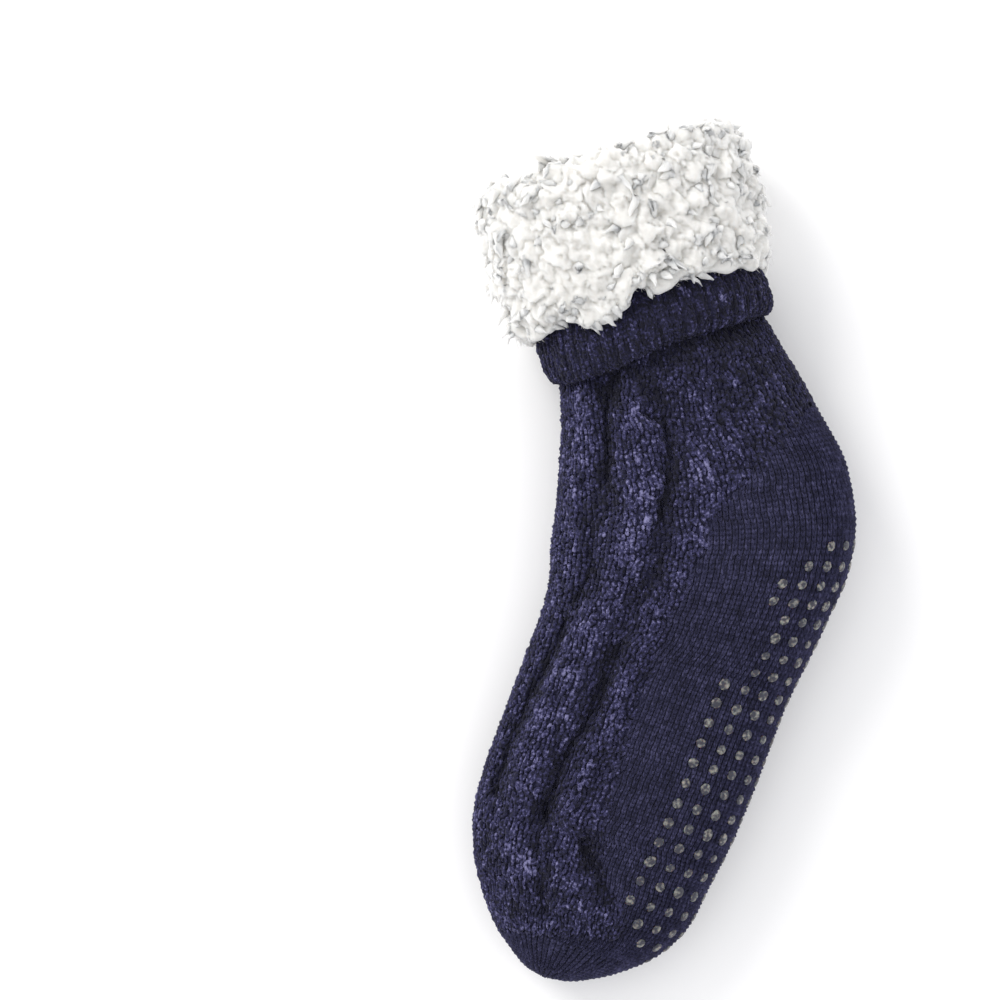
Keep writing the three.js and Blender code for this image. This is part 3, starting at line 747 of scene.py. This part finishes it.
# place along the leg, distance out, share of the rib's depth
RIB_PROFILE = [
    (LEG_AXIS - 2, LAYER_GAP, 0), (hem_top, LAYER_GAP, 0), (HEM_BOTTOM + 4, LAYER_GAP, 0),
    (HEM_BOTTOM + 1.5, LAYER_GAP + 0.4, 0.1), (HEM_BOTTOM - 0.2, face * 0.28, 0.4),
    (HEM_BOTTOM - 0.8, face * 0.48, 0.7), (HEM_BOTTOM + 0.2, face * 0.70, 0.9),
    (HEM_BOTTOM + 2.6, face * 0.88, 1), (HEM_BOTTOM + 6, face * 1.0, 1),
    (HEM_BOTTOM + 10, face * 1.08, 1), (HEM_BOTTOM + 14, face * 1.06, 1),
    (HEM_BOTTOM + 17, face * 0.98, 1), (HEM_BOTTOM + 20, face * 0.86, 1),
    (hem_top + 1, face * 0.66, 0.8), (hem_top + 4, back, 0.3), ((hem_top + LEG_AXIS) / 2, back, 0),
    (LEG_AXIS - 2, back, 0)]
profile = np.array(RIB_PROFILE)
rib_rows = skin(profile[:, 0], RIB_COLUMNS, profile[:, 1])
along, around, outward, step, width = ways(rib_rows)
round_hem = np.arange(RIB_COLUMNS) / RIB_COLUMNS
wander = 0.5 * np.sin(round_hem * 34) + 0.4 * np.sin(round_hem * 82)
rib_wave = (1 - np.abs(np.sin(round_hem * FINE_RIBS * math.pi + wander))**0.7)
sink = profile[:, 2][:, None] * rib_wave[None] * RIB_DEPTH
# the hem hangs lower at the instep than at the heel: share across, mm that it rises
HEM_HANG = [(-1.15, 6.5), (-1.05, 2.5), (-0.95, -1.5), (-0.8, -2.4), (-0.45, -2.0), (-0.2, 1.0),
            (0.0, 3.5), (0.5, 4.0), (0.7, 3.0), (1.0, 5.0)]
hem_share = shares_across(profile[:, 0], rib_rows)
slack = np.interp(hem_share, *np.array(HEM_HANG).T)
shift = (profile[:, 2][:, None] * slack)[..., None] * np.array([*LEG_WAY, 0])
centre_line = rib_rows.mean(axis=1, keepdims=True)
inward = centre_line - rib_rows
inward /= np.linalg.norm(inward, axis=-1, keepdims=True)
rib_rows = rib_rows + inward * sink[..., None] + shift
rib_rows[..., 2] = np.maximum(rib_rows[..., 2], 0.6)
rib_hem = wrapped_skin("rib_hem", rib_rows, closed_rows=True)
hem_tone = rib_hem.data.attributes.new("tone", "FLOAT", "POINT")
hem_tone.data.foreach_set("value", np.full(len(rib_hem.data.vertices), -0.1, np.float32))
give(rib_hem, plain_yarn)
print("rib hem:", len(rib_hem.data.polygons), "faces")

# %% Loops on the hem
# The hem's loops follow the ribs: on each row of the skin above, one bead for every stitch.
hem_outer = np.array([row for row in range(len(profile)) if profile[row, 2] >= 0.4])
fine = np.interp(np.linspace(0, len(hem_outer) - 1, 15), np.arange(len(hem_outer)), hem_outer)
low, part = np.floor(fine).astype(int), (fine % 1)[:, None, None]
high = np.minimum(low + 1, len(profile) - 1)
hem_grid = rib_rows[low] * (1 - part) + rib_rows[high] * part
hem_grid = hem_grid[:, ::2]
along, around, outward, step, width = ways(hem_grid)
count = hem_grid.shape[0] * hem_grid.shape[1]
turn = random.normal(0, 0.25, (count, 1))


def flat(grid):
    return grid.reshape(count, -1)


lean = flat(along) * np.cos(turn) + flat(around) * np.sin(turn)
out_way = flat(outward)
aside = np.cross(lean, out_way)
size = 1 + 0.15 * random.standard_normal((count, 1))
beads = laid(BEAD, flat(hem_grid) + random.normal(0, 0.25, (count, 3)),
             aside * flat(width[..., None]) * 0.55 * size,
             lean * flat(step[..., None]) * 0.85 * size, out_way * 0.95 * size)
hem_streaks = streaks(hem_grid.shape[:2]).ravel()
# painted shade: the hem's loops are darker in the rib grooves
hem_tones = 0.02 + 0.14 * hem_streaks - 0.28 * np.tile(rib_wave[::2], hem_grid.shape[0])
hem_tones = hem_tones[:, None] + PAINTED_CROWN_LIGHT * BEAD[:, 2][None]
hem_loops = joined("hem_loops", beads, BEAD_FACES, hem_tones)
give(hem_loops, chenille)


# %% [markdown]
# ## The fleece cuff
# The pile is a closed ring that goes over the fold and a little way into the collar. Tumbled fleece
# curls into clumps, so the ring's outer side is divided finely and raised over each clump, with a
# crease where two clumps meet. Wisps and fine strands, which are tapered, bent tubes, stand off it,
# most of all at its edges.

# %% Outline of the pile
pile_back = LAYER_GAP + KNIT_WALL + PILE_GAP
pile_inner = -KNIT_WALL - PILE_GAP
pile_face = pile_back + PILE_THICKNESS * 0.62
pile_bottom = hem_top + 1.5
fold = LEG_AXIS + KNIT_WALL + PILE_GAP
lip = LEG_AXIS - PILE_LIP
# place along the leg, distance out from the knit's face
PILE_PROFILE = [
    (pile_bottom + 3, pile_back + 0.4), (pile_bottom + 0.5, pile_back + 4.5),
    (pile_bottom, pile_face * 0.72), (pile_bottom + 1.5, pile_face * 0.9),
    (pile_bottom + 5, pile_face), (pile_bottom + 12, pile_face * 1.02),
    (pile_bottom + 20, pile_face * 1.02), (pile_bottom + 30, pile_face * 1.02),
    (pile_bottom + 40, pile_face), (fold - 10, pile_face * 0.96), (fold - 4, pile_face * 0.86),
    (fold + 1, pile_face * 0.66), (fold + 4.5, pile_face * 0.36), (fold + 5.2, 0.5),
    (fold + 4, pile_inner * 0.9), (fold + 0.5, pile_inner - 2.6), (fold - 6, pile_inner - 4.2),
    (fold - 16, pile_inner - 4.6), (lip + 4, pile_inner - 4), (lip, pile_inner - 1.8),
    (lip + 1.5, pile_inner - 0.1), ((lip + fold) / 2, pile_inner - 0.1), (fold - 3, pile_inner - 0.1),
    (fold + 0.3, pile_inner * 0.5), (fold + 0.6, LAYER_GAP / 2), (fold + 0.2, pile_back * 0.6),
    (fold - 3, pile_back), ((pile_bottom + fold) / 2, pile_back)]
pile_profile = np.array(PILE_PROFILE)
PILE_COLUMNS = 400
pile_rows = skin(pile_profile[:, 0], PILE_COLUMNS, pile_profile[:, 1])
# the lower edge of the pile is uneven: share across, mm that it rises
PILE_EDGE = [(-1.1, -3.0), (-0.85, 2.0), (-0.6, -4.0), (-0.35, -6.0), (-0.2, -1.0), (-0.1, 4.0),
             (0.1, 0.0), (0.35, 3.0), (0.7, 1.0), (1.0, -2.0)]


def with_uneven_edge(rows, places):
    near = np.clip(1 - (places - pile_bottom) / 26, 0, 1)[:, None]
    lift = np.interp(np.clip(shares_across(places, rows), -1.1, 1), *np.array(PILE_EDGE).T)
    return rows + (near * lift)[..., None] * np.array([*LEG_WAY, 0])


pile_rows = with_uneven_edge(pile_rows, pile_profile[:, 0])


def lumps(points, seed):
    """A smooth random height for each point, from a few crossed waves about 9 mm long."""
    waves = np.random.default_rng(seed)
    total = np.zeros(points.shape[:-1])
    for k in range(14):
        way = waves.standard_normal(3)
        way *= waves.uniform(0.45, 0.95) / np.linalg.norm(way)
        total += np.sin(points @ way + waves.uniform(0, 6.28))
    return total / math.sqrt(14)


# %% Fine rows on the pile's outer side, and the middles of its clumps
SWELL = 1.3
CLUMP_PITCH = 7.8  # mm between the middles of the clumps
FINE_ROWS = 130  # rows of the finely divided outer side
RELAX_ROUNDS = 10
OUTER_ROWS = slice(1, 20)  # rows of the outline in the open
pile_outer = pile_profile[OUTER_ROWS]
run = np.concatenate([[0], np.cumsum(np.linalg.norm(np.diff(pile_outer, axis=0), axis=1))])
fine_at = np.linspace(0, run[-1], FINE_ROWS)
fine_places = np.interp(fine_at, run, pile_outer[:, 0])
fine_out = np.interp(fine_at, run, pile_outer[:, 1])
fine_rows = with_uneven_edge(skin(fine_places, PILE_COLUMNS, fine_out), fine_places)
fine_along, fine_around, fine_outward, step, width = ways(fine_rows)
fine_rows = fine_rows + fine_outward * SWELL * lumps(fine_rows * 0.8, 3)[..., None]


def scattered(count):
    """Random rows and columns of the fine grid."""
    return random.integers(2, len(fine_rows) - 2, count), random.integers(0, PILE_COLUMNS, count)


clump_count = int(run[-1] * width.sum(1).mean() / CLUMP_PITCH**2)
coarse = fine_rows[::2, ::3].reshape(-1, 3)
clump_middle = fine_rows[scattered(clump_count)]
for _ in range(RELAX_ROUNDS):
    apart = clump_middle[:, None] - clump_middle[None]
    gap = np.linalg.norm(apart, axis=-1) + np.eye(clump_count) * 1e3
    push = (np.maximum(0, 1 - gap / CLUMP_PITCH)[..., None] * apart / gap[..., None]).sum(1) * 0.8
    moved = clump_middle + push
    clump_middle = np.array([coarse[((coarse - middle)**2).sum(1).argmin()] for middle in moved])
print("clumps of pile:", clump_count)

# %% Clumps
# Each place belongs to the clump whose middle is nearest, and lies lowest where two clumps meet.
CLUMP_RISE = 3.0
clump_height = random.uniform(0.55, 1.25, clump_count)
clump_size = random.uniform(-1.2, 1.2, clump_count)


def clump_rise(points):
    """How far the pile stands up at each point, 0 in the creases between clumps."""
    bent = points + np.stack([1.5 * lumps(points * 1.1, seed) + 0.6 * lumps(points * 2.6, seed + 3)
                              for seed in (31, 32, 33)], -1)
    rise = np.zeros(points.shape[:-1])
    for row, line in enumerate(bent):
        far = np.linalg.norm(line[:, None] - clump_middle[None], axis=-1) + clump_size
        order = np.argpartition(far, 1, axis=1)[:, :2]
        pair = np.take_along_axis(far, order, 1)
        nearest = order[np.arange(len(line)), pair.argmin(1)]
        rise[row] = (1 - np.exp(-np.ptp(pair, axis=1) / 2.0)) * clump_height[nearest]
    return rise


drift = (fine_along * (0.7 * lumps(fine_rows * 0.45, 11) - 0.5)[..., None]
         + fine_around * (0.7 * lumps(fine_rows * 0.45, 12))[..., None])
rise = clump_rise(fine_rows)[..., None]
curl = 0.38 * lumps(fine_rows * 2.2, 41) + 0.18 * lumps(fine_rows * 4.4, 42)
row_numbers = np.arange(FINE_ROWS)
in_open = np.clip(np.minimum(row_numbers, row_numbers[::-1]) / 8, 0, 1)[:, None, None]
fine_rows = fine_rows + in_open * (
    (fine_outward + 0.75 * drift) * (rise * CLUMP_RISE - 0.9) + fine_outward * curl[..., None])
fine_rows[..., 2] = np.maximum(fine_rows[..., 2], 0.3)
pile_skin_rows = np.concatenate([pile_rows[:1], fine_rows, pile_rows[OUTER_ROWS.stop:]])
pile_base = wrapped_skin("pile_base", pile_skin_rows, closed_rows=True)
pile_tone = np.full(pile_skin_rows.shape[:2], 0.5, np.float32)
pile_tone[1:1 + FINE_ROWS] = rise[..., 0]
tone_data = pile_base.data.attributes.new("tone", "FLOAT", "POINT")
tone_data.data.foreach_set("value", pile_tone.ravel())
give(pile_base, pile_white)
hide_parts("pile_cuff")
print("pile base:", len(pile_base.data.polygons), "faces")

# %% Tapered, bent tubes
def bent_tubes(root, out_way, drift, length, radius, sides, rings, taper):
    """Tapered tubes that start along out_way and bend towards drift. All arrays have one row a tube."""
    t = np.linspace(0, 1, rings)[None, :, None]
    path = (root[:, None] + out_way[:, None] * length[:, None] * (t - 0.42 * t**2)
            + drift[:, None] * length[:, None] * t**2)
    tangent = np.gradient(path, axis=1)
    tangent /= np.linalg.norm(tangent, axis=-1, keepdims=True)
    helper = np.cross(out_way, drift + 1e-3)
    helper /= np.maximum(np.linalg.norm(helper, axis=-1, keepdims=True), 1e-6)
    first = np.cross(tangent, helper[:, None])
    first /= np.linalg.norm(first, axis=-1, keepdims=True)
    second = np.cross(tangent, first)
    angle = np.arange(sides) / sides * 2 * math.pi
    ring = first[:, :, None] * np.cos(angle)[:, None] + second[:, :, None] * np.sin(angle)[:, None]
    corners = path[:, :, None] + ring * (radius[:, None, None] * taper[None, :, None, None])
    corners = corners.reshape(len(root), rings * sides, 3)
    tip = path[:, -1:] + tangent[:, -1:] * radius[:, None] * taper[-1]
    faces = []
    for r in range(rings - 1):
        for k in range(sides):
            a, b = r * sides + k, r * sides + (k + 1) % sides
            faces += [(a, b, a + sides), (b, b + sides, a + sides)]
    last = (rings - 1) * sides
    faces += [(last + k, last + (k + 1) % sides, rings * sides) for k in range(sides)]
    faces += [(0, k + 1, k) for k in range(1, sides - 1)]
    return np.concatenate([corners, tip], 1), np.array(faces)


# %% Wisps and fine strands that stand off the clumps
# label, how many, length, radius, lean outwards, sides, taper
WISPS = [("pile_wisps", 1900, (3.8, 6.4), (1.2, 2.0), 0.45, 7, [1.25, 1.15, 0.95, 0.6, 0.16]),
         ("pile_strands", 6000, (2.0, 3.6), (0.08, 0.13), 0.7, 3, [1.0, 0.8, 0.4])]
fine_along, fine_around, fine_outward, step, width = ways(fine_rows)
for name, count, lengths, radii, stand, sides, taper in WISPS:
    place = scattered(count)
    # the pile stands free at its edges and lies close elsewhere
    free = (place[0] < 16) | (fine_outward[place][:, 2] < 0.45)
    chosen = random.uniform(0, 1, count) < np.where(free, 0.8, 0.16)
    place = (place[0][chosen], place[1][chosen])
    count = len(place[0])
    out_way = fine_outward[place] + random.normal(0, 0.25, (count, 3))
    lean = drift[place] + random.normal(0, 0.45, (count, 3))
    first_way = out_way * stand + lean
    first_way /= np.linalg.norm(first_way, axis=1, keepdims=True)
    length = random.uniform(*lengths, (count, 1))
    radius = random.uniform(*radii, (count, 1))
    wisps, wisp_faces = bent_tubes(fine_rows[place] - fine_outward[place] * radius * 0.9, first_way,
                                   lean * 0.6, length, radius, sides, len(taper), np.array(taper))
    bend = np.stack([lumps(wisps * 2.2, seed) for seed in (21, 22, 23)], -1)
    wisps = joined(name, wisps + bend * radius[:, None] * 0.3, wisp_faces, rise[place][:, 0])
    give(wisps, pile_white)

# %% [markdown]
# ## Lining, grip dots
# The same fleece goes on down inside the foot, clipped shorter. It is a closed skin of its own. On
# the sole, drops of soft vinyl stand in a square lattice, five columns on each side of its middle.
# The outermost columns leave the arch bare.

# %% Lining
LINING_THICKNESS = 3.0
lining_places = np.concatenate([[-FOOT_AXIS * 0.9995],
                                even_places(-FOOT_AXIS * 0.99, lip - 1, 5), [lip - 1]])
lining_rows = skin(lining_places, 72, -KNIT_WALL - 0.3)
lining_rows[0] = lining_rows[0].mean(0)
lining = wrapped_skin("fleece_lining", lining_rows)
apply_modifier(lining, "SOLIDIFY", thickness=LINING_THICKNESS * MM, offset=-1)
give(lining, lining_white)
print("lining:", len(lining.data.polygons), "faces")

# %% Grip dots
DOT_RADIUS = 2.4
DOT_HEIGHT = 0.75
DOT_ROW_PITCH = 9.8
# mm round from the middle of the sole, then the places along where the column starts and ends
DOT_COLUMNS = [(5, -0.90, 0.0), (15, -0.885, 0.0), (25, -0.87, -0.01), (35, -0.85, -0.03),
               (45, -0.79, -0.28), (45, -0.125, -0.065)]


def dot_shape(sides=14):
    """A drop: a low dome with a closed foot, in units of its radius and height."""
    rings = [(1.0, -0.6), (1.0, 0.15), (0.86, 0.62), (0.5, 0.94)]
    angle = np.arange(sides) / sides * 2 * math.pi
    corners = [(r * math.cos(a), r * math.sin(a), z) for r, z in rings for a in angle]
    faces = []
    for r in range(len(rings) - 1):
        for k in range(sides):
            a, b = r * sides + k, r * sides + (k + 1) % sides
            faces += [(a, b, a + sides), (b, b + sides, a + sides)]
    last = (len(rings) - 1) * sides
    faces += [(last + k, last + (k + 1) % sides, len(rings) * sides) for k in range(sides)]
    faces += [(0, k + 1, k) for k in range(1, sides - 1)]
    return np.array(corners + [(0, 0, 1.0)]), np.array(faces)


DROP, DROP_FACES = dot_shape()
sole_places = np.linspace(-FOOT_AXIS * 0.999, FOOT_AXIS * 0.01, 700)
FINE_COLUMNS = 720
sole_skin = skin(sole_places, FINE_COLUMNS, 0.0)
sole_run = np.concatenate([[0], np.cumsum(np.linalg.norm(np.diff(sole_skin[:, 0], axis=0), axis=1))])
along, around, outward, step, width = ways(sole_skin)
dot_runs = np.arange(DOT_ROW_PITCH, sole_run[-1], DOT_ROW_PITCH)
dot_places = sole_places[np.searchsorted(sole_run, dot_runs)]
centres, sideways, forwards, ups = [], [], [], []
for arc, start, end in DOT_COLUMNS:
    for side in (-1, 1):
        for place in dot_places:
            if not start <= place / FOOT_AXIS <= end:
                continue
            row = int(np.searchsorted(sole_places, place))
            turn = int(round(side * arc / width[row].mean())) % FINE_COLUMNS
            if sole_skin[row, turn, 2] < 2.5:
                continue
            radius = DOT_RADIUS * random.uniform(0.85, 1.1)
            centres.append(sole_skin[row, turn] + outward[row, turn] * 0.25)
            sideways.append(around[row, turn] * radius)
            forwards.append(along[row, turn] * radius * random.uniform(0.95, 1.2))
            ups.append(outward[row, turn] * DOT_HEIGHT)
dots = laid(DROP, *(np.array(a) for a in (centres, sideways, forwards, ups)))
grip_dots = joined("grip_dots", dots, DROP_FACES[:, ::-1])
give(grip_dots, grip)

# %% [markdown]
# ## Floor, light and finish
# The floor is white paper, lit by one broad soft light from the upper left and by a pale sky.

# %% Floor
bpy.ops.object.select_all(action="DESELECT")
bpy.ops.mesh.primitive_plane_add(size=12, location=(0, 0, 0))
floor = bpy.context.object
floor.name = "floor"
paper, _, paper_shader = new_material("white paper", Roughness=0.9, Specular_IOR_Level=0.1)
paper_shader.inputs["Base Color"].default_value = hex_colour("#ffffff")
floor.data.materials.append(paper)

# %% Lights and the way that colours are shown
def area_light(name, location, target, size, power_watts, colour):
    data = bpy.data.lights.new(name, "AREA")
    data.shape = "DISK"
    data.size = size
    data.energy = power_watts
    data.color = hex_colour(colour)[:3]
    light = bpy.data.objects.new(name, data)
    light.location = location
    light.rotation_euler = (Vector(target) - Vector(location)).to_track_quat("-Z", "Y").to_euler()
    bpy.context.scene.collection.objects.link(light)
    return light


area_light("window side light", (-1.3, 1.25, 1.25), (0, 0, 0), 1.2, 24, "#fffdfa")
world = bpy.data.worlds.new("pale room")
world.use_nodes = True
world.node_tree.nodes["Background"].inputs["Color"].default_value = hex_colour("#fbfbfd")
world.node_tree.nodes["Background"].inputs["Strength"].default_value = 1.08
bpy.context.scene.world = world
bpy.context.scene.view_settings.view_transform = "Standard"
bpy.context.scene.view_settings.look = "None"
